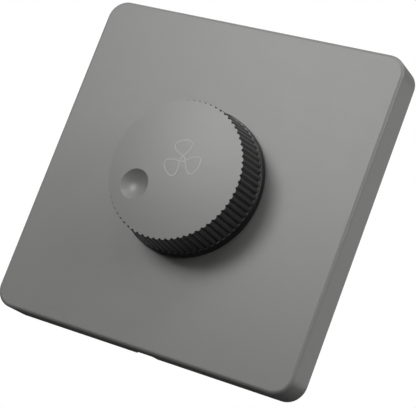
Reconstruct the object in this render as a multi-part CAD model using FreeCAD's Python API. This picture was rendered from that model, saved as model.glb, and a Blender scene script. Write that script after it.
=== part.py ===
import FreeCAD, Part
import math
import os

# Rotary fan speed control on a square wall plate, in millimetres.
# X is right and Z is up as seen from the front; +Y points into the wall, whose surface is y = 0.

V = FreeCAD.Vector
Y_AXIS = V(0, 1, 0)
Z_AXIS = V(0, 0, 1)

# Wall plate
plate_side = 86.0
plate_depth = 9.0
plate_corner = 5.0
plate_edge = 0.8
plate_wall = 2.0
plate_face = 2.2
spindle_hole_r = 6.5
plate_rib = 1.2
plate_rib_height = 1.2
plate_rib_offset = 20.0
pry_width = 6.0
pry_depth = 3.0

# Snap hooks on the back of the plate
hook_width = 8.0
hook_thick = 1.4
hook_barb = 0.8
hook_catch = 1.2
hook_inset = 5.7
hook_spread = 24.0
hook_play = 0.1
hook_side_play = 0.5

# Mounting frame
frame_play = 0.7
frame_corner = 3.0
frame_thick = 2.4
frame_rim = 1.6
frame_rim_height = 2.4
frame_rib = 1.4
frame_rib_height = 1.6
frame_rib_offset = 13.0
box_screw_pitch = 60.3
slot_width = 4.2
slot_length = 7.2
seat_depth = 0.8

# Rear housing
housing_side = 50.0
housing_depth = 34.0
housing_corner = 3.0
housing_edge = 1.0
housing_wall = 1.8
housing_play = 0.2
boss_side = 5.8
boss_inset = 3.5
boss_length = 10.0
vent_width = 1.6
vent_length = 14.0
vent_pitch = 4.6
vent_count = 6

# Self-tapping screws
screw_r = 1.4
screw_head_r = 2.7
screw_head = 1.8
screw_length = 8.0
screw_play = 0.05

# Circuit board
board_thick = 1.6
board_play = 0.4
board_relief = 0.5
post_side = 4.2
post_inset_x = 3.8
post_inset_z = 10.8

# Potentiometer
pot_side = 17.0
pot_plate = 1.2
pot_can_depth = 8.0
pot_can_wall = 0.5
bushing_r = 3.5
bushing_length = 6.0
bushing_play = 0.1
nut_across = 10.0
nut_thick = 2.0
washer_r = 5.2
washer_thick = 0.5
key_width = 2.4
key_thick = 1.4
key_offset = 6.3
key_length = 1.4
key_play = 0.2
shaft_r = 3.0
shaft_play = 0.05
shaft_flat = 1.5
shaft_flat_length = 8.8
fit_play = 0.02
ring_r = 4.4
ring_thick = 0.5
ring_groove = 0.6
ring_play = 0.05
rotor_gap = 0.6
rotor_thick = 2.0
rotor_hub_wall = 0.9
rotor_hub_length = 3.2
rotor_play = 0.05
turn_range = 250.0
stop_angle = 20.0
stop_margin = 1.5
stop_gap = 0.4
stop_clear = 0.7
wafer_thick = 1.2
wafer_gap = 1.4
wafer_play = 0.1
wafer_hole_play = 0.4
tongue_width = 9.0
tongue_length = 4.4
wiper_width = 0.9
wiper_hub_gap = 0.8
wiper_thick = 0.3
wiper_span = 60.0
finger_span = 8.0
pin_width = 0.8
pin_thick = 0.5
pin_pitch = 3.0
switch_side = 15.0
switch_standoff = 4.6

# Knob
knob_gap = 0.4
knob_height = 11.3
knob_roof = 2.4
knob_dome = 0.6
ridge_tip_r = 17.9
ridge_root_r = 17.45
ridge_flare = 0.85
ridge_crest = 0.55
ridge_count = 70
flange_r = 19.05
flange_height = 2.0
flange_bevel = 0.25
skirt_wall = 2.1
hub_r = 5.4
hub_gap = 0.4
knob_rib = 1.2
knob_rib_setback = 2.0
knob_rib_count = 6
dimple_r = 3.9
dimple_depth = 1.35
dimple_offset = 11.0
clip_thick = 0.4
clip_width = 3.6

# Triac on its heat sink
sink_width = 31.0
sink_thick = 1.6
sink_headroom = 4.6
sink_leg = 6.6
triac_width = 10.0
triac_length = 9.2
triac_height = 4.5
triac_tab = 1.3
triac_tab_length = 6.3
triac_lead = 1.5
triac_lead_drop = 2.7
triac_pitch = 2.54
sink_screw_r = 1.5
sink_screw_head_r = 2.7
sink_screw_head = 1.8
sink_screw_end = 0.8

# Parts soldered to the board
film_width = 18.0
film_thick = 8.4
film_height = 14.0
timing_width = 7.4
timing_thick = 3.0
timing_height = 8.0
timing_z = -12.5
choke_side = 11.2
choke_core_side = 5.2
choke_flange = 1.5
choke_height = 12.0
choke_z = -1.0
winding_play = 0.05
winding_lip = 0.5
winding_corner = 2.4
resistor_r = 1.5
resistor_length = 7.0
resistor_z = 2.4
diac_r = 1.0
diac_length = 4.2
diac_z = -6.0
wire_half = 0.25
wire_reach = 1.5
axial_lift = 0.5
switch_pin_x = 4.0
switch_pin_z = 5.8

# Fuse soldered to the board
fuse_width = 8.4
fuse_thick = 4.2
fuse_height = 8.0
fuse_pitch = 5.1
fuse_lift = 0.6
fuse_inset = 5.2

# Screw terminals
pole_pitch = 8.0
terminal_width = 18.0
terminal_depth = 11.0
terminal_height = 10.5
terminal_play = 0.1
wire_hole_r = 2.0
wire_hole_length = 3.2
wire_axis = 4.2
wire_guide_play = 0.4
clamp_width = 5.8
clamp_depth = 6.0
clamp_height = 6.4
clamp_window = 4.2
clamp_lift = 0.9
clamp_play = 0.2
clamp_pin = 1.0
terminal_screw_r = 1.75
terminal_head_r = 2.6
terminal_head = 1.8
terminal_head_gap = 0.6
drive_width = 0.7
drive_depth = 0.9
driver_hole_r = 2.9

# Levels along Y
plate_front = -plate_depth
plate_inside = plate_front + plate_face
frame_front = -frame_thick
seat_y = -seat_depth
washer_front = frame_front - washer_thick
bushing_end = seat_y - bushing_length
ring_back = bushing_end - ring_play
ring_front = ring_back - ring_thick
pot_plate_back = seat_y + pot_plate
rotor_front = pot_plate_back + rotor_play
rotor_back = rotor_front + rotor_thick
wafer_front = rotor_back + wafer_gap
wafer_back = wafer_front + wafer_thick
can_back = pot_plate_back + pot_can_depth
housing_inside = housing_depth - housing_wall
board_back = housing_inside - terminal_play - terminal_height
board_y = board_back - board_thick
switch_back = board_y - switch_standoff
knob_back = plate_front - knob_gap
flange_front = knob_back - flange_height
knob_rim = plate_front - knob_height
knob_crown = knob_rim - knob_dome
roof_y = knob_rim + knob_roof
shaft_tip = roof_y + fit_play
hub_end = ring_front - hub_gap
sink_front = board_y - triac_lead - triac_length - triac_tab_length
sink_hole_y = sink_front + triac_tab_length / 2

# Widths shared between pieces
plate_in = plate_side - 2 * plate_wall
frame_side = plate_in - 2 * frame_play
housing_in = housing_side - 2 * housing_wall
board_side = housing_in - 2 * board_play
post_x = board_side / 2 - post_inset_x
post_z = board_side / 2 - post_inset_z
sink_z = housing_in / 2 - sink_headroom
fuse_z = fuse_inset - housing_in / 2
pot_in = pot_side - 2 * pot_can_wall
rotor_r = pot_in / 2 - rotor_gap
rotor_hub_r = shaft_r + rotor_hub_wall
wiper_in = rotor_hub_r + wiper_hub_gap
rotor_waist_r = wiper_in + wiper_width
boss_at = housing_side / 2 - boss_inset
hook_z = plate_side / 2 - plate_wall - hook_inset
dimple_angle = 90 + turn_range / 2
poles = (-pole_pitch / 2, pole_pitch / 2)
corners = [(sx, sz) for sx in (-1, 1) for sz in (-1, 1)]
screw_places = [(s * boss_at, s * boss_at) for s in (-1, 1)]


def block(x0, x1, y0, y1, z0, z1):
    return Part.makeBox(x1 - x0, y1 - y0, z1 - z0, V(x0, y0, z0))


def bar(x, z, width, height, y0, y1):
    return block(x - width / 2, x + width / 2, y0, y1, z - height / 2, z + height / 2)


def rod(radius, y0, y1, x=0.0, z=0.0):
    return Part.makeCylinder(radius, y1 - y0, V(x, y0, z), Y_AXIS)


def tube(outer, inner, y0, y1, x=0.0, z=0.0):
    return rod(outer, y0, y1, x, z).cut(rod(inner, y0, y1, x, z))


def rounded_slab(side, corner, y0, y1):
    slab = bar(0, 0, side, side, y0, y1)
    upright = [e for e in slab.Edges if abs(e.tangentAt(e.FirstParameter).y) > 0.9]
    return slab.makeFillet(corner, upright)


def wedge(inner, outer, y0, y1, start, sweep):
    # Ring sector; angles run from +X towards +Z.
    base = V(0, 0, -y1)
    ring = Part.makeCylinder(outer, y1 - y0, base, Z_AXIS, sweep)
    ring = ring.cut(Part.makeCylinder(inner, y1 - y0, base, Z_AXIS))
    ring.rotate(V(0, 0, 0), Z_AXIS, start)
    ring.rotate(V(0, 0, 0), V(1, 0, 0), 90)
    return ring


def hexagon(across, y0, y1):
    radius = across / math.sqrt(3)
    points = []
    for i in range(7):
        turn = math.radians(60 * i)
        points.append(V(radius * math.cos(turn), y0, radius * math.sin(turn)))
    return Part.Face(Part.makePolygon(points)).extrude(V(0, y1 - y0, 0))


def merged(first, *others):
    return first.multiFuse(list(others)).removeSplitter()


def group(shapes):
    return Part.makeCompound(shapes)


def pan_screw(radius, head_r, head, length, x, seat, z):
    # Head in front of the seat, shank behind it.
    return merged(rod(head_r, seat - head, seat, x, z), rod(radius, seat, seat + length, x, z))


def slot(x, z, y0, y1):
    straight = (slot_length - slot_width) / 2
    ends = [rod(slot_width / 2, y0, y1, x + s * straight, z) for s in (-1, 1)]
    return merged(bar(x, z, 2 * straight, slot_width, y0, y1), *ends)


def hook(sx, sz):
    # Tongue with a barb on its outer face, caught behind the frame's ledge.
    inner = hook_z - hook_thick / 2
    outer = hook_z + hook_thick / 2
    catch = -hook_catch + hook_play
    end = -hook_play
    profile = [
        V(0, plate_inside, inner),
        V(0, end, inner),
        V(0, end, outer),
        V(0, catch, outer + hook_barb),
        V(0, catch, outer),
        V(0, plate_inside, outer),
        V(0, plate_inside, inner),
    ]
    tongue = Part.Face(Part.makePolygon(profile)).extrude(V(hook_width, 0, 0))
    tongue.translate(V(hook_spread - hook_width / 2, 0, 0))
    if sx < 0:
        tongue = tongue.mirror(V(0, 0, 0), V(1, 0, 0))
    if sz < 0:
        tongue = tongue.mirror(V(0, 0, 0), Z_AXIS)
    return tongue


def hook_window(sx, sz):
    # Opening in the frame for one hook, with a recessed ledge behind the barb.
    width = hook_width + 2 * hook_side_play
    inner = hook_z - hook_thick / 2 - hook_barb
    outer = hook_z + hook_thick / 2 + hook_play
    low, high = sorted((sz * inner, sz * outer))
    ledge_low, ledge_high = sorted((sz * inner, sz * (outer + hook_barb + hook_play)))
    x = sx * hook_spread
    through = block(x - width / 2, x + width / 2, frame_front, 0, low, high)
    ledge = block(x - width / 2, x + width / 2, -hook_catch, 0, ledge_low, ledge_high)
    return merged(through, ledge)


def front_panel():
    shell = rounded_slab(plate_side, plate_corner, plate_front, 0)
    rim = [e for e in shell.Edges if all(abs(v.Y - plate_front) < 1e-6 for v in e.Vertexes)]
    shell = shell.makeFillet(plate_edge, rim)
    shell = shell.cut(rounded_slab(plate_in, plate_corner - plate_wall, plate_inside, 0))
    features = []
    for s in (-1, 1):
        offset = s * plate_rib_offset
        top = plate_inside + plate_rib_height
        features.append(bar(offset, 0, plate_rib, plate_in, plate_inside, top))
        features.append(bar(0, offset, plate_in, plate_rib, plate_inside, top))
    features += [hook(sx, sz) for sx, sz in corners]
    shell = merged(shell, *features)
    shell = shell.cut(rod(spindle_hole_r, plate_front, plate_inside))
    bottom = -plate_side / 2
    return shell.cut(block(-pry_width / 2, pry_width / 2, -pry_depth, 0, bottom, bottom + plate_wall))


def mounting_frame():
    plate = rounded_slab(frame_side, frame_corner, frame_front, 0)
    rim = rounded_slab(frame_side, frame_corner, frame_front - frame_rim_height, frame_front)
    inner = frame_side - 2 * frame_rim
    rim = rim.cut(rounded_slab(inner, frame_corner - frame_rim, frame_front - frame_rim_height, frame_front))
    ribs = []
    for s in (-1, 1):
        offset = s * frame_rib_offset
        low = frame_front - frame_rib_height
        ribs.append(bar(offset, 0, frame_rib, inner + frame_rim, low, frame_front))
        ribs.append(bar(0, offset, inner + frame_rim, frame_rib, low, frame_front))
    frame = merged(plate, rim, *ribs)
    cuts = [rounded_slab(housing_side + 2 * housing_play, housing_corner + housing_play, seat_y, 0)]
    cuts.append(rod(bushing_r + bushing_play, frame_front, 0))
    key_z = key_offset + key_thick / 2
    cuts.append(bar(0, key_z, key_width + 2 * key_play, key_thick + 2 * key_play, frame_front, 0))
    for s in (-1, 1):
        cuts.append(slot(s * box_screw_pitch / 2, 0, frame_front, 0))
    cuts += [rod(screw_r + screw_play, frame_front, 0, x, z) for x, z in screw_places]
    cuts += [hook_window(sx, sz) for sx, sz in corners]
    return frame.cut(group(cuts))


def vent_slots():
    slots = []
    half = housing_side / 2
    mid_y = board_y - vent_length / 2
    for i in range(vent_count):
        x = (i - (vent_count - 1) / 2) * vent_pitch
        top = block(x - vent_width / 2, x + vent_width / 2, mid_y - vent_length / 2, mid_y + vent_length / 2,
                    half - housing_wall, half)
        rear = bar(x, vent_length / 2, vent_width, vent_length, housing_inside, housing_depth)
        slots += [top, rear]
    return slots


def rear_housing():
    core = rounded_slab(housing_side, housing_corner, seat_y, housing_depth)
    rear = [e for e in core.Edges if all(abs(v.Y - housing_depth) < 1e-6 for v in e.Vertexes)]
    core = core.makeChamfer(housing_edge, rear)
    shell = core.cut(rounded_slab(housing_in, housing_corner - housing_wall, seat_y, housing_inside))
    features = []
    for x, z in screw_places:
        features.append(bar(x, z, boss_side, boss_side, seat_y, seat_y + boss_length).common(core))
    for sx, sz in corners:
        features.append(bar(sx * post_x, sz * post_z, post_side, post_side, board_back, housing_inside))
    shell = merged(shell, *features)
    cuts = vent_slots()
    cuts += [rod(screw_r + screw_play, seat_y, seat_y + screw_length, x, z) for x, z in screw_places]
    guide = wire_hole_r + wire_guide_play
    for x in poles:
        low = -housing_side / 2
        mouth = V(x, board_back + wire_axis, low)
        cuts.append(Part.makeCylinder(guide, housing_wall, mouth, Z_AXIS))
        cuts.append(rod(driver_hole_r, housing_inside, housing_depth, x, screw_axis_z()))
    return shell.cut(group(cuts))


def housing_screws():
    screws = []
    for x, z in screw_places:
        screws.append(pan_screw(screw_r, screw_head_r, screw_head, screw_length, x, frame_front, z))
    return group(screws)


def circuit_board():
    board = bar(0, 0, board_side, board_side, board_y, board_back)
    side = boss_side + 2 * board_relief
    return board.cut(group([bar(x, z, side, side, board_y, board_back) for x, z in screw_places]))


def lobe_start():
    # The lobe stands just clockwise of the stop post when the control is off.
    return -90 - stop_angle / 2 - stop_margin - lobe_sweep()


def lobe_sweep():
    return 360 - turn_range - stop_angle - 2 * stop_margin


def bushing_plate():
    plate = bar(0, 0, pot_side, pot_side, seat_y, pot_plate_back)
    neck = rod(bushing_r, bushing_end, seat_y)
    key = bar(0, key_offset + key_thick / 2, key_width, key_thick, seat_y - key_length, seat_y)
    inner = rotor_waist_r + stop_gap
    post = wedge(inner, pot_in / 2 - stop_clear, pot_plate_back, pot_plate_back + rotor_thick,
                 -90 - stop_angle / 2, stop_angle)
    return merged(plate, neck, key, post).cut(rod(shaft_r + shaft_play, bushing_end, pot_plate_back))


def bushing_washer():
    return tube(washer_r, bushing_r + fit_play, washer_front, frame_front)


def bushing_nut():
    nut = hexagon(nut_across, washer_front - nut_thick, washer_front)
    return nut.cut(rod(bushing_r + fit_play, washer_front - nut_thick, washer_front))


def potentiometer_can():
    can = bar(0, 0, pot_side, pot_side, pot_plate_back, can_back)
    can = can.cut(bar(0, 0, pot_in, pot_in, pot_plate_back, can_back - pot_can_wall))
    gap = tongue_width + 2 * wafer_play
    mouth = block(-gap / 2, gap / 2, pot_plate_back, wafer_back + wafer_play, -pot_side / 2, -pot_in / 2)
    return can.cut(mouth)


def resistance_wafer():
    side = pot_in - 2 * wafer_play
    sheet = bar(0, 0, side, side, wafer_front, wafer_back)
    low = -pot_side / 2 - tongue_length
    tongue = block(-tongue_width / 2, tongue_width / 2, wafer_front, wafer_back, low, -side / 2)
    return merged(sheet, tongue).cut(rod(rotor_hub_r + wafer_hole_play, wafer_front, wafer_back))


def potentiometer_pins():
    z = -pot_side / 2 - tongue_length + pin_width
    return group([bar(i * pin_pitch, z, pin_width, pin_thick, wafer_back, board_y) for i in (-1, 0, 1)])


def switch_case():
    case = bar(0, 0, switch_side, switch_side, can_back, switch_back)
    upright = [e for e in case.Edges if abs(e.tangentAt(e.FirstParameter).y) > 0.9]
    return case.makeChamfer(pin_pitch / 2, upright)


def switch_pins():
    pins = []
    for s in (-1, 1):
        pins.append(bar(s * switch_pin_x, switch_pin_z, pin_width, pin_thick, switch_back, board_y))
    return group(pins)


def shaft():
    rotor_end = rotor_back + rotor_hub_length
    pin = rod(shaft_r, shaft_tip, rotor_end)
    flat = block(-shaft_r, shaft_r, shaft_tip, shaft_tip + shaft_flat_length, shaft_flat, shaft_r)
    groove_back = ring_back + (ring_groove - ring_thick) / 2
    groove = tube(shaft_r, (shaft_r + shaft_flat) / 2, groove_back - ring_groove, groove_back)
    return pin.cut(flat).cut(groove)


def shaft_ring():
    ring = tube(ring_r, (shaft_r + shaft_flat) / 2 + fit_play, ring_front, ring_back)
    return ring.cut(block(-shaft_flat, shaft_flat, ring_front, ring_back, -ring_r, 0))


def rotor():
    disc = rod(rotor_waist_r, rotor_front, rotor_back)
    lobe = wedge(shaft_r, rotor_r, rotor_front, rotor_back, lobe_start(), lobe_sweep())
    hub = rod(rotor_hub_r, rotor_back, rotor_back + rotor_hub_length)
    return merged(disc, lobe, hub).cut(rod(shaft_r + fit_play, rotor_front, rotor_back + rotor_hub_length))


def wiper_contact():
    middle = lobe_start() + lobe_sweep() / 2
    leaf = wedge(wiper_in, rotor_waist_r, rotor_back, rotor_back + wiper_thick,
                 middle - wiper_span / 2, wiper_span)
    finger = wedge(wiper_in, rotor_waist_r, rotor_back, wafer_front - fit_play,
                   middle - finger_span / 2, finger_span)
    return merged(leaf, finger)


def ridge_outline(y):
    # Narrow crests and V grooves; the grip widens evenly from its face to the flange.
    spread = 1 + ridge_flare / ridge_tip_r * (y - knob_rim) / (flange_front - knob_rim)
    pitch = 2 * math.pi / ridge_count
    crest = ridge_crest / ridge_tip_r / 2
    points = []
    for i in range(ridge_count):
        for radius, offset in ((ridge_root_r, -pitch / 2), (ridge_tip_r, -crest), (ridge_tip_r, crest)):
            turn = i * pitch + offset
            points.append(V(spread * radius * math.cos(turn), y, spread * radius * math.sin(turn)))
    return points


def ridged_cone(y0, y1):
    front = ridge_outline(y0)
    back = ridge_outline(y1)
    faces = [Part.Face(Part.makePolygon(ring + ring[:1])) for ring in (front, back)]
    for i in range(len(front)):
        corners = [front[i - 1], front[i], back[i], back[i - 1], front[i - 1]]
        faces.append(Part.Face(Part.makePolygon(corners)))
    return Part.Solid(Part.makeShell(faces))


def flange_ring():
    inner = ridge_root_r - skirt_wall
    profile = [
        V(inner, knob_back, 0),
        V(flange_r, knob_back, 0),
        V(flange_r, flange_front + flange_bevel, 0),
        V(flange_r - flange_bevel, flange_front, 0),
        V(inner, flange_front, 0),
        V(inner, knob_back, 0),
    ]
    return Part.Face(Part.makePolygon(profile)).revolve(V(0, 0, 0), Y_AXIS, 360)


def dimple_bowl():
    turn = math.radians(dimple_angle)
    bowl_r = (dimple_r ** 2 + dimple_depth ** 2) / (2 * dimple_depth)
    dome_r = (ridge_tip_r ** 2 + knob_dome ** 2) / (2 * knob_dome)
    face_y = knob_crown + dome_r - math.sqrt(dome_r ** 2 - dimple_offset ** 2)
    centre = V(dimple_offset * math.cos(turn), face_y - bowl_r + dimple_depth, dimple_offset * math.sin(turn))
    return Part.makeSphere(bowl_r, centre)


def knob():
    dome_r = (ridge_tip_r ** 2 + knob_dome ** 2) / (2 * knob_dome)
    grip = ridged_cone(knob_crown - knob_dome, flange_front)
    grip = grip.common(Part.makeSphere(dome_r, V(0, knob_crown + dome_r, 0)))
    skirt_r = ridge_root_r - skirt_wall
    grip = grip.cut(rod(skirt_r, roof_y, flange_front))
    ribs = []
    for i in range(knob_rib_count):
        rib = block(hub_r - knob_rib, skirt_r + knob_rib, roof_y - knob_rib / 2,
                    knob_back - knob_rib_setback, -knob_rib / 2, knob_rib / 2)
        rib.rotate(V(0, 0, 0), Y_AXIS, 360 * i / knob_rib_count)
        ribs.append(rib)
    hub = rod(hub_r, roof_y - knob_rib / 2, hub_end)
    body = merged(grip, flange_ring(), hub, *ribs)
    bore = rod(shaft_r + fit_play, roof_y, hub_end)
    seat_z = shaft_flat + clip_thick + 2 * fit_play
    bore_flat = block(-shaft_r * 2, shaft_r * 2, roof_y, shaft_tip + shaft_flat_length, seat_z, shaft_r * 2)
    return body.cut(bore.cut(bore_flat)).cut(dimple_bowl())


def knob_clip():
    low = shaft_flat + fit_play
    return block(-clip_width / 2, clip_width / 2, shaft_tip, shaft_tip + shaft_flat_length - fit_play,
                 low, low + clip_thick)


def heat_sink():
    half = sink_width / 2
    plate = block(-half, half, sink_front, board_y, sink_z, sink_z + sink_thick)
    legs = []
    for s in (-1, 1):
        low, high = sorted((s * half, s * (half - sink_thick)))
        legs.append(block(low, high, sink_front, board_y, sink_z - sink_leg, sink_z))
    hole = Part.makeCylinder(sink_screw_r + screw_play, sink_thick, V(0, sink_hole_y, sink_z), Z_AXIS)
    return merged(plate, *legs).cut(hole)


def triac_body():
    front = sink_front + triac_tab_length
    half = triac_width / 2
    return block(-half, half, front, front + triac_length, sink_z - triac_height, sink_z)


def triac_leadframe():
    front = sink_front + triac_tab_length
    tab = block(-triac_width / 2, triac_width / 2, sink_front, front, sink_z - triac_tab, sink_z)
    seat = V(0, sink_hole_y, sink_z - triac_tab)
    hole = Part.makeCylinder(sink_screw_r + screw_play, triac_tab, seat, Z_AXIS)
    z = sink_z - triac_lead_drop
    leads = [bar(i * triac_pitch, z, pin_width, pin_thick, front + triac_length, board_y) for i in (-1, 0, 1)]
    return group([tab.cut(hole)] + leads)


def heat_sink_screw():
    # Head against the triac's tab, shank tapped into the heat sink.
    seat = sink_z - triac_tab
    head = V(0, sink_hole_y, seat - sink_screw_head)
    length = triac_tab + sink_thick + sink_screw_end
    screw = Part.makeCylinder(sink_screw_head_r, sink_screw_head, head, Z_AXIS)
    return merged(screw, Part.makeCylinder(sink_screw_r, length, V(0, sink_hole_y, seat), Z_AXIS))


def film_capacitor():
    x = -housing_in / 2 + board_play + film_thick / 2 + 1
    return bar(x, 0, film_thick, film_width, board_y - film_height, board_y)


def timing_capacitor():
    x = housing_in / 2 - board_play - timing_width / 2 - 1
    return bar(x, timing_z, timing_width, timing_thick, board_y - timing_height, board_y)


def choke_x():
    return housing_in / 2 - board_play - choke_side / 2


def choke_core():
    x = choke_x()
    low = board_y - choke_height
    front = bar(x, choke_z, choke_side, choke_side, low, low + choke_flange)
    back = bar(x, choke_z, choke_side, choke_side, board_y - choke_flange, board_y)
    return merged(bar(x, choke_z, choke_core_side, choke_core_side, low, board_y), front, back)


def choke_winding():
    low = board_y - choke_height + choke_flange + winding_play
    high = board_y - choke_flange - winding_play
    coil = rounded_slab(choke_side - 2 * winding_lip, winding_corner, low, high)
    inner = choke_core_side + 2 * winding_play
    coil = coil.cut(bar(0, 0, inner, inner, low, high))
    coil.translate(V(choke_x(), 0, choke_z))
    return coil


def axial_part(radius, length, z):
    # Body along X with both wires bent down to the board.
    y = board_y - axial_lift - radius
    body = Part.makeCylinder(radius, length, V(-length / 2, y, z), V(1, 0, 0))
    reach = length / 2 + wire_reach
    wires = [block(-reach, reach, y - wire_half, y + wire_half, z - wire_half, z + wire_half)]
    wires += [bar(s * (reach - wire_half), z, 2 * wire_half, 2 * wire_half, y, board_y) for s in (-1, 1)]
    return merged(body, *wires)


def resistors():
    return group([axial_part(resistor_r, resistor_length, s * resistor_z) for s in (-1, 1)])


def diac():
    return axial_part(diac_r, diac_length, diac_z)


def fuse():
    body = bar(0, fuse_z, fuse_width, fuse_thick, board_y - fuse_lift - fuse_height, board_y - fuse_lift)
    pins = []
    for s in (-1, 1):
        pins.append(bar(s * fuse_pitch / 2, fuse_z, pin_width, pin_thick, board_y - fuse_lift, board_y))
    return merged(body, *pins)


def terminal_face_z():
    return -housing_in / 2 + terminal_play


def screw_axis_z():
    return terminal_face_z() + wire_hole_length + clamp_play + clamp_depth / 2


def terminal_block():
    z0 = terminal_face_z()
    back = board_back + terminal_height
    body = block(-terminal_width / 2, terminal_width / 2, board_back, back, z0, z0 + terminal_depth)
    cuts = []
    for x in poles:
        width = clamp_width + 2 * clamp_play
        depth = clamp_depth + 2 * clamp_play
        top = board_back + clamp_lift + clamp_height + clamp_play
        cuts.append(bar(x, screw_axis_z(), width, depth, board_back, top))
        mouth = V(x, board_back + wire_axis, z0)
        cuts.append(Part.makeCylinder(wire_hole_r, wire_hole_length, mouth, Z_AXIS))
        cuts.append(rod(driver_hole_r, top, back, x, screw_axis_z()))
    return body.cut(group(cuts))


def terminal_clamps():
    clamps = []
    z = screw_axis_z()
    low = board_back + clamp_lift
    high = low + clamp_height
    window_low = board_back + wire_axis - clamp_window / 2
    for x in poles:
        cage = bar(x, z, clamp_width, clamp_depth, low, high)
        window = bar(x, z, clamp_window, clamp_depth, window_low, window_low + clamp_window)
        thread = rod(terminal_screw_r + screw_play, window_low, high, x, z)
        pin = bar(x, z, clamp_pin, clamp_pin, board_back, low)
        clamps.append(merged(cage.cut(window).cut(thread), pin))
    return group(clamps)


def terminal_screws():
    screws = []
    z = screw_axis_z()
    window_top = board_back + wire_axis + clamp_window / 2
    seat = board_back + clamp_lift + clamp_height + terminal_head_gap
    for x in poles:
        shank = rod(terminal_screw_r, window_top - clamp_window / 3, seat, x, z)
        head = rod(terminal_head_r, seat, seat + terminal_head, x, z)
        back = seat + terminal_head
        groove = bar(x, z, 2 * terminal_head_r, drive_width, back - drive_depth, back)
        screws.append(merged(shank, head).cut(groove))
    return group(screws)


PIECES = (
    front_panel, mounting_frame, rear_housing, housing_screws, circuit_board,
    bushing_plate, bushing_washer, bushing_nut, potentiometer_can, resistance_wafer, potentiometer_pins,
    switch_case, switch_pins, shaft, shaft_ring, rotor, wiper_contact, knob, knob_clip,
    heat_sink, triac_body, triac_leadframe, heat_sink_screw,
    film_capacitor, timing_capacitor, choke_core, choke_winding, resistors, diac,
    fuse, terminal_block, terminal_clamps, terminal_screws,
)

os.makedirs("parts", exist_ok=True)
for piece in PIECES:
    piece().exportStep("parts/" + piece.__name__ + ".step")
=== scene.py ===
import logging
import math
from dataclasses import dataclass, field
from enum import Enum
from typing import Any, Union

import bpy
from mathutils import Matrix, Vector


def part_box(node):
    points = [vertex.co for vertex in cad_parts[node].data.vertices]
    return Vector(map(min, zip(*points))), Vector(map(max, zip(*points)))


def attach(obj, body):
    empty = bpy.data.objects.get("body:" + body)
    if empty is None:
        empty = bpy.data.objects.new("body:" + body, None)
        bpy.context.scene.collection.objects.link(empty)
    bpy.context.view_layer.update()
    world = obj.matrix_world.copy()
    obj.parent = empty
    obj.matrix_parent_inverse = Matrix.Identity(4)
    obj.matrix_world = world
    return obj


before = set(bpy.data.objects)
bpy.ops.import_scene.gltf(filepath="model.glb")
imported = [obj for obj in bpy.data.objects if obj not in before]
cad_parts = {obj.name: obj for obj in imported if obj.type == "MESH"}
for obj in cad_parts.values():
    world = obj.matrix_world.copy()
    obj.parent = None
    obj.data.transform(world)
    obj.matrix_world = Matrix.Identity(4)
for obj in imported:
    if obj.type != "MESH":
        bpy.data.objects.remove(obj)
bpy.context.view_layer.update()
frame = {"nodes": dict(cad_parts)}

log = logging.getLogger("fan_speed_control")
MM = 0.001
Colour = tuple[float, float, float]
Place = tuple[float, float, float]
Band = tuple[float, float]
Number = Union[float, "Link"]

# Sizes in the patterns, as multiples of a finish's own grain.
BROAD_GRAIN = 24.0
PIT_GRAIN = 1.6
LACQUER_GRAIN = 3.0
# How far rolling and pressing draw the grain out, as scales of the coordinates.
ROLLED_STRETCH = (0.06, 1.0, 1.0)
FIBRE_STRETCH = (0.2, 1.0, 0.5)
# Scale at which Blender's wave texture has one band to the unit.
WAVE_SCALE = 0.314
COAT_ROUGHNESS = 0.12


class Link:
    """An output socket of a node, with operators that add Math nodes."""

    def __init__(self, graph: "NodeGraph", socket: bpy.types.NodeSocket) -> None:
        """Keeps the socket and the graph that it belongs to."""
        self.graph = graph
        self.socket = socket

    def maths(self, operation: str, first: Number, second: Number = 0.0) -> "Link":
        """Adds one Math node.

        Args:
            operation: Blender's name of the operation.
            first: left operand.
            second: right operand.

        Returns:
            The node's result.
        """
        return self.graph.node("ShaderNodeMath", {"operation": operation}, {0: first, 1: second})[0]

    def __add__(self, other: Number) -> "Link":
        """Gives self + other."""
        return self.maths("ADD", self, other)

    def __radd__(self, other: Number) -> "Link":
        """Gives other + self."""
        return self.maths("ADD", other, self)

    def __sub__(self, other: Number) -> "Link":
        """Gives self - other."""
        return self.maths("SUBTRACT", self, other)

    def __rsub__(self, other: Number) -> "Link":
        """Gives other - self."""
        return self.maths("SUBTRACT", other, self)

    def __mul__(self, other: Number) -> "Link":
        """Gives self times other."""
        return self.maths("MULTIPLY", self, other)

    def __rmul__(self, other: Number) -> "Link":
        """Gives other times self."""
        return self.maths("MULTIPLY", other, self)

    def __truediv__(self, other: Number) -> "Link":
        """Gives self divided by other."""
        return self.maths("DIVIDE", self, other)

    def __pow__(self, other: Number) -> "Link":
        """Gives self to the power of other."""
        return self.maths("POWER", self, other)

    def below(self, limit: Number) -> "Link":
        """Gives 1 where self is less than the limit, else 0."""
        return self.maths("LESS_THAN", self, limit)

    def at_most(self, limit: Number) -> "Link":
        """Gives the smaller of self and the limit."""
        return self.maths("MINIMUM", self, limit)

    def cosine(self) -> "Link":
        """Gives the cosine of self in radians."""
        return self.maths("COSINE", self)

    def sine(self) -> "Link":
        """Gives the sine of self in radians."""
        return self.maths("SINE", self)

    def root(self) -> "Link":
        """Gives the square root of self."""
        return self.maths("SQRT", self)


class Made:
    """A node that is in place, from which outputs are taken by name or number."""

    def __init__(self, graph: "NodeGraph", node: bpy.types.Node) -> None:
        """Keeps the node and its graph."""
        self.graph = graph
        self.node = node

    def __getitem__(self, key: Union[int, str]) -> Link:
        """Gives one output."""
        return Link(self.graph, self.node.outputs[key])


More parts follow.
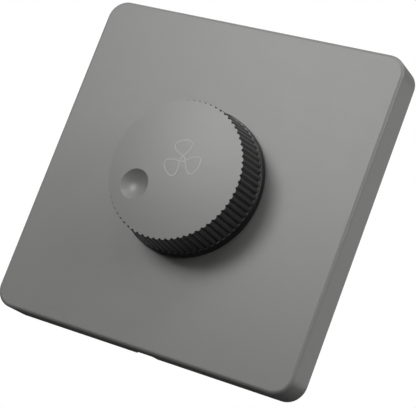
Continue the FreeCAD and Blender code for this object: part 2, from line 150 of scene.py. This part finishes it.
class NodeGraph:
    """A node tree of any kind that is filled in code."""

    def __init__(self, tree: bpy.types.NodeTree) -> None:
        """Empties the tree and keeps it."""
        self.tree = tree
        tree.nodes.clear()

    def node(self, kind: str, settings: dict[str, Any] | None = None,
             sockets: dict[Union[int, str], Any] | None = None) -> Made:
        """Adds a node, sets its settings, then its sockets.

        Args:
            kind: Blender's type name of the node.
            settings: the node's own settings.
            sockets: values or links of the inputs, by name or number.

        Returns:
            The node, from which its outputs are taken.
        """
        made = self.tree.nodes.new(kind)
        for name, value in (settings or {}).items():
            setattr(made, name, value)
        for key, value in (sockets or {}).items():
            if isinstance(value, Link):
                self.tree.links.new(value.socket, made.inputs[key])
            else:
                made.inputs[key].default_value = value
        return Made(self, made)

    def split(self, vector: Link) -> Made:
        """Adds a node that gives X, Y and Z of a vector."""
        return self.node("ShaderNodeSeparateXYZ", {}, {0: vector})

    def ramp(self, level: Link, band: Band, low: Colour, high: Colour) -> Link:
        """Adds a ramp between two colours.

        Args:
            level: value that is looked up, from 0 to 1.
            band: level at which the first colour ends, and at which the second begins.
            low: colour below the band.
            high: colour above it.

        Returns:
            The colour at the level.
        """
        made = self.node("ShaderNodeValToRGB", {}, {0: level})
        for element, position, colour in zip(made.node.color_ramp.elements, band, (low, high)):
            element.position = position
            element.color = (*colour, 1.0)
        return made[0]

    def blend(self, factor: Number, first: Any, second: Any) -> Link:
        """Mixes two colours.

        Args:
            factor: 0 for the first, 1 for the second.
            first: colour or link.
            second: colour or link.

        Returns:
            The mixed colour.
        """
        pair = [c if isinstance(c, Link) else (*c, 1.0) for c in (first, second)]
        return self.node("ShaderNodeMix", {"data_type": "RGBA"}, {0: factor, 6: pair[0], 7: pair[1]})[2]


def grey(level: float) -> Colour:
    """Gives a neutral colour."""
    return (level, level, level)


WHITE = grey(1.0)


class Pattern(Enum):
    """The ways in which the surfaces of this object are made."""

    SATIN = "satin paint over a fine moulded grain"
    SPARKED = "mould texture from spark erosion"
    ROLLED = "rolled and plated sheet"
    TURNED = "turned on a lathe"
    WOUND = "enamelled wire, turn beside turn"
    PRESSED = "pressed fibre board"
    LAMINATE = "glass cloth under solder mask"
    SINTERED = "sintered powder"
    DIPPED = "dipped lacquer"


@dataclass(frozen=True)
class Surface:
    """What a pattern gives to a shader."""

    tone: Link
    height: Link


@dataclass(frozen=True)
class Finish:
    """One finish: two near colours, gloss, and the pattern that varies them.

    Colours are linear, grain is in millimetres, and spread is how far the pattern varies the roughness.
    """

    name: str
    colour: Colour
    second: Colour
    pattern: Pattern
    grain: float
    roughness: float
    spread: float = 0.06
    bump: float = 0.15
    metallic: float = 0.0
    specular: float = 0.5
    coat: float = 0.0

    def surface(self, graph: NodeGraph) -> Surface:
        """Adds the nodes of this finish's pattern.

        Args:
            graph: the material's graph.

        Returns:
            Tone from 0 to 1 and height.
        """
        place = graph.node("ShaderNodeTexCoord")["Object"]
        broad = self.noise(graph, place, self.grain * BROAD_GRAIN, 2.0)
        if self.pattern is Pattern.ROLLED:
            drawn = graph.node("ShaderNodeMapping", {}, {"Vector": place, "Scale": ROLLED_STRETCH})["Vector"]
            lines = self.noise(graph, drawn, self.grain, 4.0)
            return Surface(0.6 * lines + 0.4 * broad, lines)
        if self.pattern is Pattern.TURNED:
            part = graph.split(place)
            radius = (part["X"] * part["X"] + part["Z"] * part["Z"]).root()
            rings = graph.node("ShaderNodeTexNoise", {"noise_dimensions": "1D"}, {
                "W": radius + part["Y"], "Scale": 1.0 / (self.grain * MM), "Detail": 3.0})[0]
            return Surface(0.6 * rings + 0.4 * broad, rings)
        if self.pattern is Pattern.WOUND:
            turns = graph.node("ShaderNodeTexWave", {"wave_type": "BANDS", "bands_direction": "Y"}, {
                "Vector": place, "Scale": WAVE_SCALE / (self.grain * MM), "Distortion": 0.3})[1]
            return Surface(0.7 * turns + 0.3 * broad, turns)
        if self.pattern is Pattern.PRESSED:
            drawn = graph.node("ShaderNodeMapping", {}, {"Vector": place, "Scale": FIBRE_STRETCH})["Vector"]
            fibres = self.noise(graph, drawn, self.grain, 5.0)
            return Surface(0.7 * fibres + 0.3 * broad, fibres)
        if self.pattern is Pattern.LAMINATE:
            part = graph.split(place)
            thread = math.tau / (self.grain * MM)
            weave = (part["X"] * thread).sine() * (part["Z"] * thread).sine()
            return Surface(0.5 + 0.2 * weave + 0.3 * (broad - 0.5), 0.5 + 0.5 * weave)
        if self.pattern is Pattern.DIPPED:
            return Surface(broad, self.noise(graph, place, self.grain * LACQUER_GRAIN, 1.0))
        fine = self.noise(graph, place, self.grain, 3.0)
        if self.pattern is Pattern.SPARKED:
            pits = graph.node("ShaderNodeTexVoronoi", {"feature": "SMOOTH_F1"}, {
                "Vector": place, "Scale": 1.0 / (self.grain * PIT_GRAIN * MM)})["Distance"]
            return Surface(0.5 * broad + 0.5 * fine, 0.6 * fine + 0.4 * pits)
        if self.pattern is Pattern.SINTERED:
            grains = graph.node("ShaderNodeTexVoronoi", {"feature": "F1"}, {
                "Vector": place, "Scale": 1.0 / (self.grain * MM)})["Distance"]
            return Surface(0.5 * grains + 0.5 * broad, 0.7 * grains + 0.3 * fine)
        return Surface(0.75 * broad + 0.25 * fine, fine)

    @staticmethod
    def noise(graph: NodeGraph, place: Link, size: float, detail: float) -> Link:
        """Adds a noise pattern.

        Args:
            graph: the material's graph.
            place: coordinates in metres.
            size: size of its grains in millimetres.
            detail: number of finer layers.

        Returns:
            The noise, from 0 to 1.
        """
        return graph.node("ShaderNodeTexNoise", {}, {
            "Vector": place, "Scale": 1.0 / (size * MM), "Detail": detail})[0]

    def shader(self, graph: NodeGraph) -> Link:
        """Adds this finish's shader.

        Args:
            graph: the material's graph.

        Returns:
            The shader's output.
        """
        surface = self.surface(graph)
        bump = graph.node("ShaderNodeBump", {}, {
            "Strength": self.bump, "Distance": self.grain * MM, "Height": surface.height})["Normal"]
        return graph.node("ShaderNodeBsdfPrincipled", {}, {
            "Base Color": graph.blend(surface.tone, self.colour, self.second),
            "Roughness": self.roughness + self.spread * (surface.tone - 0.5),
            "Metallic": self.metallic, "Specular IOR Level": self.specular,
            "Coat Weight": self.coat, "Coat Roughness": COAT_ROUGHNESS, "Normal": bump})[0]

    def material(self) -> bpy.types.Material:
        """Makes the material of this finish.

        Returns:
            The material.
        """
        made = bpy.data.materials.new(self.name)
        made.use_nodes = True
        graph = NodeGraph(made.node_tree)
        graph.node("ShaderNodeOutputMaterial", {}, {"Surface": self.shader(graph)})
        return made


@dataclass(frozen=True)
class TwoToneFinish:
    """Pale paint on the surfaces of the knob that look forward, over charcoal ridges and a flange darkened
    with painted shade.

    The paint ends at the crisp edge between the face and the ridges. The same pale paint is also laid on the
    bottom of the grooves as painted highlight, standing in for the glints at the feet of the ridges.
    face_level is the place along Y in front of which the face lies, groove_level that of the grooves' ends,
    with glint_margin behind it, and glint_radius how far out these painted glints reach, all in millimetres.
    A surface takes paint where its normal's Y is below slope.
    """

    name: str
    face: Finish
    ridges: Finish
    flange: Finish
    face_level: float
    groove_level: float
    glint_radius: float
    glint_margin: float = 0.1
    slope: float = -0.45

    def material(self) -> bpy.types.Material:
        """Makes the material, with the face's shader where the paint and the painted glints lie, and the
        flange's painted shade behind the ridges.

        Returns:
            The material.
        """
        made = bpy.data.materials.new(self.name)
        made.use_nodes = True
        graph = NodeGraph(made.node_tree)
        coords = graph.node("ShaderNodeTexCoord")
        spot = graph.split(coords["Object"])
        slope = graph.split(coords["Normal"])["Y"]
        radius = (spot["X"] * spot["X"] + spot["Z"] * spot["Z"]).root()
        face = spot["Y"].below(self.face_level * MM)
        # painted highlight: the face's pale paint is laid at the grooves' ends in place of the glints at the
        # ridges' feet
        glint_back = (self.groove_level + self.glint_margin) * MM
        glint_spots = radius.below(self.glint_radius * MM) * spot["Y"].below(glint_back)
        painted = (face + glint_spots).at_most(1.0) * slope.below(self.slope)
        # behind the grooves' ends the flange takes a darker charcoal: painted shade where the knob meets the
        # plate
        ridged = spot["Y"].below(self.groove_level * MM)
        grip = graph.node("ShaderNodeMixShader", {}, {
            0: ridged, 1: self.flange.shader(graph), 2: self.ridges.shader(graph)})[0]
        mixed = graph.node("ShaderNodeMixShader", {}, {0: painted, 1: grip, 2: self.face.shader(graph)})[0]
        graph.node("ShaderNodeOutputMaterial", {}, {"Surface": mixed})
        return made


PLATE_GREY = Finish("plate_grey", (0.266, 0.263, 0.259), (0.283, 0.280, 0.276), Pattern.SATIN, 0.16, 0.37,
                    bump=0.10)
FACE_GREY = Finish("face_grey", (0.258, 0.255, 0.251), (0.274, 0.271, 0.267), Pattern.SATIN, 0.14, 0.36,
                   bump=0.08)
SIGN_LINE = Finish("sign_line", (0.50, 0.496, 0.490), (0.54, 0.536, 0.530), Pattern.SATIN, 0.08, 0.50,
                   bump=0.05)
RIDGE_CHARCOAL = Finish("ridge_charcoal", grey(0.025), grey(0.031), Pattern.SATIN, 0.12, 0.24,
                        bump=0.08, specular=0.75)
# painted shade: the flange is darker than the ridges for the shade where the knob's foot meets the plate
FLANGE_PAINTED_SHADE = Finish("flange_painted_shade", grey(0.009), grey(0.012), Pattern.SATIN, 0.12, 0.36,
                         bump=0.10, specular=0.20)
FRAME_WHITE = Finish("frame_white", (0.70, 0.69, 0.66), (0.76, 0.75, 0.72), Pattern.SPARKED, 0.30, 0.48)
HOUSING_BLACK = Finish("housing_black", (0.035, 0.035, 0.038), (0.055, 0.055, 0.058), Pattern.SPARKED,
                       0.42, 0.55, bump=0.35)
BOARD_GREEN = Finish("board_green", (0.03, 0.16, 0.06), (0.05, 0.24, 0.10), Pattern.LAMINATE, 0.9, 0.30,
                     coat=0.3)
ZINC_STEEL = Finish("zinc_steel", (0.56, 0.57, 0.60), (0.68, 0.69, 0.70), Pattern.ROLLED, 0.10, 0.34,
                    metallic=1.0)
ZINC_SCREW = Finish("zinc_screw", (0.58, 0.59, 0.61), (0.70, 0.71, 0.72), Pattern.TURNED, 0.10, 0.30,
                    metallic=1.0)
BRASS = Finish("brass", (0.62, 0.43, 0.17), (0.74, 0.54, 0.24), Pattern.TURNED, 0.12, 0.28, metallic=1.0)
COPPER = Finish("enamelled_copper", (0.45, 0.16, 0.06), (0.66, 0.28, 0.11), Pattern.WOUND, 0.55, 0.26,
                bump=0.7, metallic=0.8, coat=0.4)
ALUMINIUM = Finish("aluminium", (0.66, 0.67, 0.69), (0.76, 0.77, 0.78), Pattern.ROLLED, 0.14, 0.32,
                   metallic=1.0)
SHAFT_METAL = Finish("shaft_aluminium", (0.66, 0.67, 0.69), (0.76, 0.77, 0.78), Pattern.TURNED, 0.12, 0.28,
                     metallic=1.0)
PHENOLIC = Finish("phenolic", (0.20, 0.09, 0.035), (0.30, 0.15, 0.06), Pattern.PRESSED, 0.25, 0.52, bump=0.25)
NYLON = Finish("nylon", (0.72, 0.70, 0.62), (0.80, 0.78, 0.71), Pattern.SPARKED, 0.25, 0.44)
EPOXY_BLACK = Finish("epoxy_black", (0.018, 0.018, 0.019), (0.030, 0.030, 0.031), Pattern.SPARKED, 0.20, 0.50)
FILM_YELLOW = Finish("film_yellow", (0.66, 0.42, 0.04), (0.74, 0.50, 0.07), Pattern.DIPPED, 0.5, 0.30,
                     coat=0.3)
FILM_RED = Finish("film_red", (0.30, 0.04, 0.02), (0.38, 0.06, 0.03), Pattern.DIPPED, 0.5, 0.24, coat=0.6)
FERRITE = Finish("ferrite", (0.045, 0.045, 0.048), (0.075, 0.075, 0.078), Pattern.SINTERED, 0.35, 0.60,
                 bump=0.3)
RESISTOR_TAN = Finish("resistor_tan", (0.48, 0.34, 0.18), (0.56, 0.41, 0.23), Pattern.DIPPED, 0.4, 0.30,
                      coat=0.5)
DIAC_BLUE = Finish("diac_blue", (0.04, 0.13, 0.34), (0.06, 0.18, 0.42), Pattern.DIPPED, 0.3, 0.24, coat=0.5)
FUSE_BROWN = Finish("fuse_brown", (0.12, 0.045, 0.02), (0.17, 0.07, 0.035), Pattern.SPARKED, 0.25, 0.42)
BLOCK_GREY = Finish("block_grey", (0.46, 0.47, 0.47), (0.54, 0.55, 0.55), Pattern.SPARKED, 0.30, 0.48)


def dress(finish: Union[Finish, TwoToneFinish], *names: str) -> None:
    """Gives a finish to CAD nodes.

    Args:
        finish: the finish.
        names: the nodes that take it.
    """
    material = finish.material()
    for name in names:
        for slot in frame["nodes"][name].material_slots:
            slot.material = material
        log.info("dressed %s in %s", name, finish.name)


@dataclass
class WallPlate:
    """The square plate and the frame that it clips on to."""

    face: Finish = PLATE_GREY
    frame: Finish = FRAME_WHITE

    def dress(self) -> None:
        """Gives the plate and its frame their finishes."""
        dress(self.face, "front_panel")
        dress(self.frame, "mounting_frame")


@dataclass
class FanSign:
    """Fan sign of three blades, drawn in fine lines on the knob's domed face.

    Lengths are in millimetres, angles in degrees; the centre is seen from the front. A blade is
    blade_root_share of its width at the root and grows by blade_growth of it to the tip.
    """

    centre_x: float = 1.5
    centre_z: float = 2.6
    turn: float = 108.0
    blades: int = 3
    blade_root: float = 0.95
    blade_reach: float = 4.9
    blade_width: float = 5.3
    blade_root_share: float = 0.36
    blade_growth: float = 0.86
    blade_points: int = 64
    hub_radius: float = 0.62
    hub_points: int = 32
    line_width: float = 0.32
    line_lift: float = 0.012
    line_depth: float = 0.03
    dome_radius: float = 267.3
    finish: Finish = SIGN_LINE

    def sizes(self) -> dict[str, Union[float, int]]:
        """Gives the inputs of the sign's tree.

        Returns:
            Lengths in metres, the turn in radians and the number of blades, by name.
        """
        return {"Centre X": self.centre_x * MM, "Centre Z": self.centre_z * MM,
                "Turn": math.radians(self.turn),
                "Blade root": self.blade_root * MM, "Blade reach": self.blade_reach * MM,
                "Blade width": self.blade_width * MM, "Hub radius": self.hub_radius * MM,
                "Line width": self.line_width * MM, "Line lift": self.line_lift * MM,
                "Line depth": self.line_depth * MM, "Dome radius": self.dome_radius * MM,
                "Crown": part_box("knob")[0][1], "Blades": self.blades}

    def tree(self) -> bpy.types.NodeTree:
        """Builds the tree that draws one blade, repeats it, and lays the lines on the dome.

        Returns:
            The tree, with a named input for each size.
        """
        tree = bpy.data.node_groups.new("fan_sign", "GeometryNodeTree")
        graph = NodeGraph(tree)
        tree.interface.new_socket("Geometry", in_out="OUTPUT", socket_type="NodeSocketGeometry")
        for name, size in self.sizes().items():
            kind = "NodeSocketInt" if isinstance(size, int) else "NodeSocketFloat"
            tree.interface.new_socket(name, in_out="INPUT", socket_type=kind)
        given = graph.node("NodeGroupInput")
        lines = graph.node("GeometryNodeJoinGeometry")
        for drawn in (self.petals(graph, given), self.hub(graph, given)):
            tree.links.new(drawn.socket, lines.node.inputs[0])
        profile = graph.node("GeometryNodeCurvePrimitiveQuadrilateral", {}, {
            "Width": given["Line width"], "Height": given["Line lift"] + given["Line depth"]})[0]
        ribbon = graph.node("GeometryNodeCurveToMesh", {}, {0: lines[0], 1: profile, "Fill Caps": True})[0]
        crisp = graph.node("GeometryNodeSetShadeSmooth", {}, {"Geometry": ribbon, "Shade Smooth": False})[0]
        laid = self.on_dome(graph, given, crisp)
        coated = graph.node("GeometryNodeSetMaterial", {}, {
            "Geometry": graph.node("GeometryNodeRealizeInstances", {}, {0: laid})[0],
            "Material": self.finish.material()})[0]
        graph.node("NodeGroupOutput", {}, {0: coated})
        return tree

    def petals(self, graph: NodeGraph, given: Made) -> Link:
        """Adds the blades' outlines in the XY plane.

        Args:
            graph: the sign's graph.
            given: the tree's inputs.

        Returns:
            The closed curves of all blades.
        """
        ring = graph.node("GeometryNodeCurvePrimitiveCircle", {}, {"Resolution": self.blade_points})[0]
        angle = graph.node("GeometryNodeSplineParameter")["Factor"] * math.tau
        along = 0.5 - 0.5 * angle.cosine()
        reach = given["Blade root"] + (given["Blade reach"] - given["Blade root"]) * along
        fullness = self.blade_root_share + self.blade_growth * along
        across = 0.5 * given["Blade width"] * angle.sine() * fullness
        outline = graph.node("GeometryNodeSetPosition", {}, {
            "Geometry": ring,
            "Position": graph.node("ShaderNodeCombineXYZ", {}, {0: reach, 1: across})[0]})[0]
        spots = graph.node("GeometryNodeMeshLine", {}, {
            "Count": given["Blades"], "Offset": (0.0, 0.0, 0.0)})[0]
        turn = given["Turn"] + graph.node("GeometryNodeInputIndex")[0] * math.tau / given["Blades"]
        turned = graph.node("FunctionNodeEulerToRotation", {}, {
            0: graph.node("ShaderNodeCombineXYZ", {}, {2: turn})[0]})[0]
        placed = graph.node("GeometryNodeInstanceOnPoints", {}, {
            "Points": spots, "Instance": outline, "Rotation": turned})[0]
        return graph.node("GeometryNodeRealizeInstances", {}, {0: placed})[0]

    def hub(self, graph: NodeGraph, given: Made) -> Link:
        """Adds the small ring between the blades.

        Args:
            graph: the sign's graph.
            given: the tree's inputs.

        Returns:
            The ring's curve.
        """
        return graph.node("GeometryNodeCurvePrimitiveCircle", {}, {
            "Resolution": self.hub_points, "Radius": given["Hub radius"]})[0]

    @staticmethod
    def on_dome(graph: NodeGraph, given: Made, ribbon: Link) -> Link:
        """Lays the flat lines on the knob's domed face.

        Args:
            graph: the sign's graph.
            given: the tree's inputs.
            ribbon: mesh of the lines in the XY plane, with Z as its height.

        Returns:
            The mesh in its place.
        """
        flat = graph.split(graph.node("GeometryNodeInputPosition")[0])
        x = given["Centre X"] + flat["X"]
        z = given["Centre Z"] + flat["Y"]
        middle = 0.5 * (given["Line lift"] - given["Line depth"])
        sag = given["Dome radius"] - (given["Dome radius"] ** 2.0 - x * x - z * z).root()
        y = given["Crown"] + sag - middle - flat["Z"]
        return graph.node("GeometryNodeSetPosition", {}, {
            "Geometry": ribbon, "Position": graph.node("ShaderNodeCombineXYZ", {}, {0: x, 1: y, 2: z})[0]})[0]

    def build(self) -> bpy.types.Object:
        """Makes the sign's mesh.

        Returns:
            The finished piece, riding on the knob.
        """
        carrier = bpy.data.objects.new("fan_sign_carrier", bpy.data.meshes.new("fan_sign_carrier"))
        bpy.context.scene.collection.objects.link(carrier)
        modifier = carrier.modifiers.new("fan_sign", "NODES")
        modifier.node_group = self.tree()
        sizes = self.sizes()
        for item in modifier.node_group.interface.items_tree:
            if item.in_out == "INPUT":
                modifier[item.identifier] = sizes[item.name]
        bpy.context.view_layer.update()
        shape = carrier.evaluated_get(bpy.context.evaluated_depsgraph_get())
        mesh = bpy.data.meshes.new_from_object(shape)
        bpy.data.objects.remove(carrier)
        sign = bpy.data.objects.new("fan_sign", mesh)
        bpy.context.scene.collection.objects.link(sign)
        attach(sign, "knob")
        log.info("built fan_sign with %d faces", len(mesh.polygons))
        return sign


@dataclass
class ControlKnob:
    """The ridged knob with its painted face, its sign, and the shaft that it turns.

    In millimetres: paint_depth is how far behind the crown the face's paint may lie, glint_reach how far out
    the grooves' ends take pale paint as painted highlight for the glints at the ridges' feet, ledge_height
    the flange's thickness, and gap its distance from the plate.
    """

    sign: FanSign = field(default_factory=FanSign)
    paint_depth: float = 2.6
    glint_reach: float = 18.72
    ledge_height: float = 2.0
    gap: float = 0.4

    def build(self) -> None:
        """Makes the sign on the face."""
        self.sign.build()

    def dress(self) -> None:
        """Gives the turning pieces their finishes."""
        face_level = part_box("knob")[0][1] / MM + self.paint_depth
        ledge_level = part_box("front_panel")[0][1] / MM - self.gap - self.ledge_height
        dress(TwoToneFinish("knob_two_tone", FACE_GREY, RIDGE_CHARCOAL, FLANGE_PAINTED_SHADE, face_level,
                            ledge_level, self.glint_reach), "knob")
        dress(SHAFT_METAL, "shaft")
        dress(ZINC_STEEL, "knob_clip", "shaft_ring")
        dress(NYLON, "rotor")
        dress(BRASS, "wiper_contact")


@dataclass
class RearModule:
    """The housing behind the frame, with its screws and wire terminals."""

    shell: Finish = HOUSING_BLACK
    block: Finish = BLOCK_GREY

    def dress(self) -> None:
        """Gives the pieces seen from behind their finishes."""
        dress(self.shell, "rear_housing")
        dress(self.block, "terminal_block")
        dress(ZINC_SCREW, "housing_screws", "terminal_screws")
        dress(BRASS, "terminal_clamps")


@dataclass
class Regulator:
    """The circuit inside the housing."""

    board: Finish = BOARD_GREEN

    def dress(self) -> None:
        """Gives the circuit's pieces their finishes."""
        dress(self.board, "circuit_board")
        dress(ZINC_STEEL, "bushing_plate", "bushing_washer", "potentiometer_can", "potentiometer_pins",
              "triac_leadframe")
        dress(BRASS, "bushing_nut", "switch_pins")
        dress(PHENOLIC, "resistance_wafer", "switch_case")
        dress(ALUMINIUM, "heat_sink")
        dress(ZINC_SCREW, "heat_sink_screw")
        dress(EPOXY_BLACK, "triac_body")
        dress(FILM_YELLOW, "film_capacitor")
        dress(FILM_RED, "timing_capacitor")
        dress(FERRITE, "choke_core")
        dress(COPPER, "choke_winding")
        dress(RESISTOR_TAN, "resistors")
        dress(DIAC_BLUE, "diac")
        dress(FUSE_BROWN, "fuse")


@dataclass
class SoftBox:
    """One square lamp that looks at the object.

    Place and side are in metres, power in watts and spread in degrees. in_gloss says if reflections show it.
    """

    name: str
    place: Place
    side: float
    power: float
    spread: float = 180.0
    in_gloss: bool = True

    def build(self) -> None:
        """Adds the lamp, turned to the object."""
        lamp = bpy.data.lights.new(self.name, "AREA")
        lamp.shape = "SQUARE"
        lamp.size = self.side
        lamp.energy = self.power
        lamp.spread = math.radians(self.spread)
        stand = bpy.data.objects.new(self.name, lamp)
        stand.visible_glossy = self.in_gloss
        stand.location = self.place
        stand.rotation_euler = (-Vector(self.place)).to_track_quat("-Z", "Y").to_euler()
        bpy.context.scene.collection.objects.link(stand)


@dataclass
class Studio:
    """Floor, white surroundings, lamps and the camera.

    Lengths are in metres, and in millimetres for the lens and the sensor. Sky, ground, wall and floor_tint
    are grey levels, linear. The bands say between which levels of height or depth, from 0 to 1, the
    surroundings change. floor_white is the share of the floor that is seen as white.
    """

    floor_level: float = -0.42
    floor_radius: float = 0.9
    floor_points: int = 96
    floor_white: float = 0.92
    floor_tint: float = 0.3
    sky: float = 0.03
    ground: float = 0.01
    wall: float = 0.12
    sky_band: Band = (0.3, 0.8)
    horizon_band: Band = (0.49, 0.56)
    wall_band: Band = (0.60, 0.75)
    lens: float = 131.86
    sensor: float = 36.0
    nearest: float = 0.01
    place: Place = (0.185796, -0.327378, -0.068794)
    right: Place = (0.84404, 0.40597, 0.35041)
    down: Place = (0.22942, 0.31726, -0.92017)
    forward: Place = (-0.48473, 0.85705, 0.17464)
    lamps: tuple[SoftBox, ...] = (
        SoftBox("key", (-0.2289, -0.5191, 0.1953), 0.22, 1.34),
        SoftBox("front_top", (-0.0269, -0.3847, 0.4596), 0.22, 0.36),
        SoftBox("top", (0.2158, -0.1811, 0.5298), 0.20, 0.60),
        SoftBox("right_fill", (0.5932, -0.1927, 0.3178), 0.35, 1.65),
        SoftBox("back_fill", (0.45, 0.60, 0.10), 0.40, 0.10, spread=80.0),
        SoftBox("rear_fill", (-0.25, 0.65, 0.30), 0.40, 0.95, spread=80.0, in_gloss=False),
    )

    def build(self) -> None:
        """Sets up the stage in order."""
        bpy.context.scene.view_settings.view_transform = "Standard"
        self.build_world()
        self.build_floor()
        for lamp in self.lamps:
            lamp.build()
        self.build_camera()
        log.info("studio ready")

    @staticmethod
    def shown(rays: Made) -> Link:
        """Gives 1 for rays that show the background: from the camera, in gloss, and through glass."""
        seen = rays["Is Camera Ray"] + rays["Is Glossy Ray"] + rays["Is Transmission Ray"]
        return seen.at_most(1.0)

    def build_world(self) -> None:
        """Makes the surroundings: white where they are seen, shaded in gloss, and a soft sky for light.

        Gloss sees them dark below the horizon and grey behind the wall's plane.
        """
        world = bpy.data.worlds.new("surroundings")
        bpy.context.scene.world = world
        world.use_nodes = True
        graph = NodeGraph(world.node_tree)
        rays = graph.node("ShaderNodeLightPath")
        way = graph.split(graph.node("ShaderNodeTexCoord")["Generated"])
        height = 0.5 + 0.5 * way["Z"]
        depth = 0.5 + 0.5 * way["Y"]
        light = graph.ramp(height, self.sky_band, grey(self.ground), grey(self.sky))
        front = graph.ramp(height, self.horizon_band, grey(self.ground), WHITE)
        wall = graph.ramp(depth, self.wall_band, WHITE, grey(self.wall))
        backdrop = graph.blend(rays["Is Glossy Ray"], WHITE, front * wall)
        glow = graph.node("ShaderNodeBackground", {}, {"Color": light})[0]
        view = graph.node("ShaderNodeBackground", {}, {"Color": backdrop})[0]
        mixed = graph.node("ShaderNodeMixShader", {}, {0: self.shown(rays), 1: glow, 2: view})[0]
        graph.node("ShaderNodeOutputWorld", {}, {"Surface": mixed})

    def build_floor(self) -> None:
        """Lays a round floor that is seen as white with a faint shadow, and sends little light back."""
        mesh = bpy.data.meshes.new("floor")
        angles = [math.tau * step / self.floor_points for step in range(self.floor_points)]
        rim = [(self.floor_radius * math.cos(angle), self.floor_radius * math.sin(angle), self.floor_level)
               for angle in angles]
        mesh.from_pydata(rim, [], [list(range(self.floor_points))])
        floor = bpy.data.objects.new("floor", mesh)
        bpy.context.scene.collection.objects.link(floor)
        paint = bpy.data.materials.new("floor_white")
        paint.use_nodes = True
        graph = NodeGraph(paint.node_tree)
        rays = graph.node("ShaderNodeLightPath")
        seen = self.floor_white * (rays["Is Camera Ray"] + rays["Is Transmission Ray"]).at_most(1.0)
        matt = graph.node("ShaderNodeBsdfDiffuse", {}, {"Color": (*grey(self.floor_tint), 1.0)})[0]
        white = graph.node("ShaderNodeEmission", {}, {"Color": (*WHITE, 1.0)})[0]
        mixed = graph.node("ShaderNodeMixShader", {}, {0: seen, 1: matt, 2: white})[0]
        graph.node("ShaderNodeOutputMaterial", {}, {"Surface": mixed})
        mesh.materials.append(paint)

    def build_camera(self) -> None:
        """Sets the camera at the photograph's angle."""
        data = bpy.data.cameras.new("camera")
        data.sensor_width = self.sensor
        data.lens = self.lens
        data.clip_start = self.nearest
        camera = bpy.data.objects.new("camera", data)
        axes = Matrix((self.right, -Vector(self.down), -Vector(self.forward))).transposed().to_4x4()
        camera.matrix_world = Matrix.Translation(self.place) @ axes
        bpy.context.scene.collection.objects.link(camera)
        bpy.context.scene.camera = camera


def main() -> None:
    """Builds and dresses the control, then sets the studio round it."""
    logging.basicConfig(level=logging.INFO, format="%(name)s: %(message)s")
    WallPlate().dress()
    knob = ControlKnob()
    knob.build()
    knob.dress()
    RearModule().dress()
    Regulator().dress()
    Studio().build()


if __name__ == "__main__":
    main()
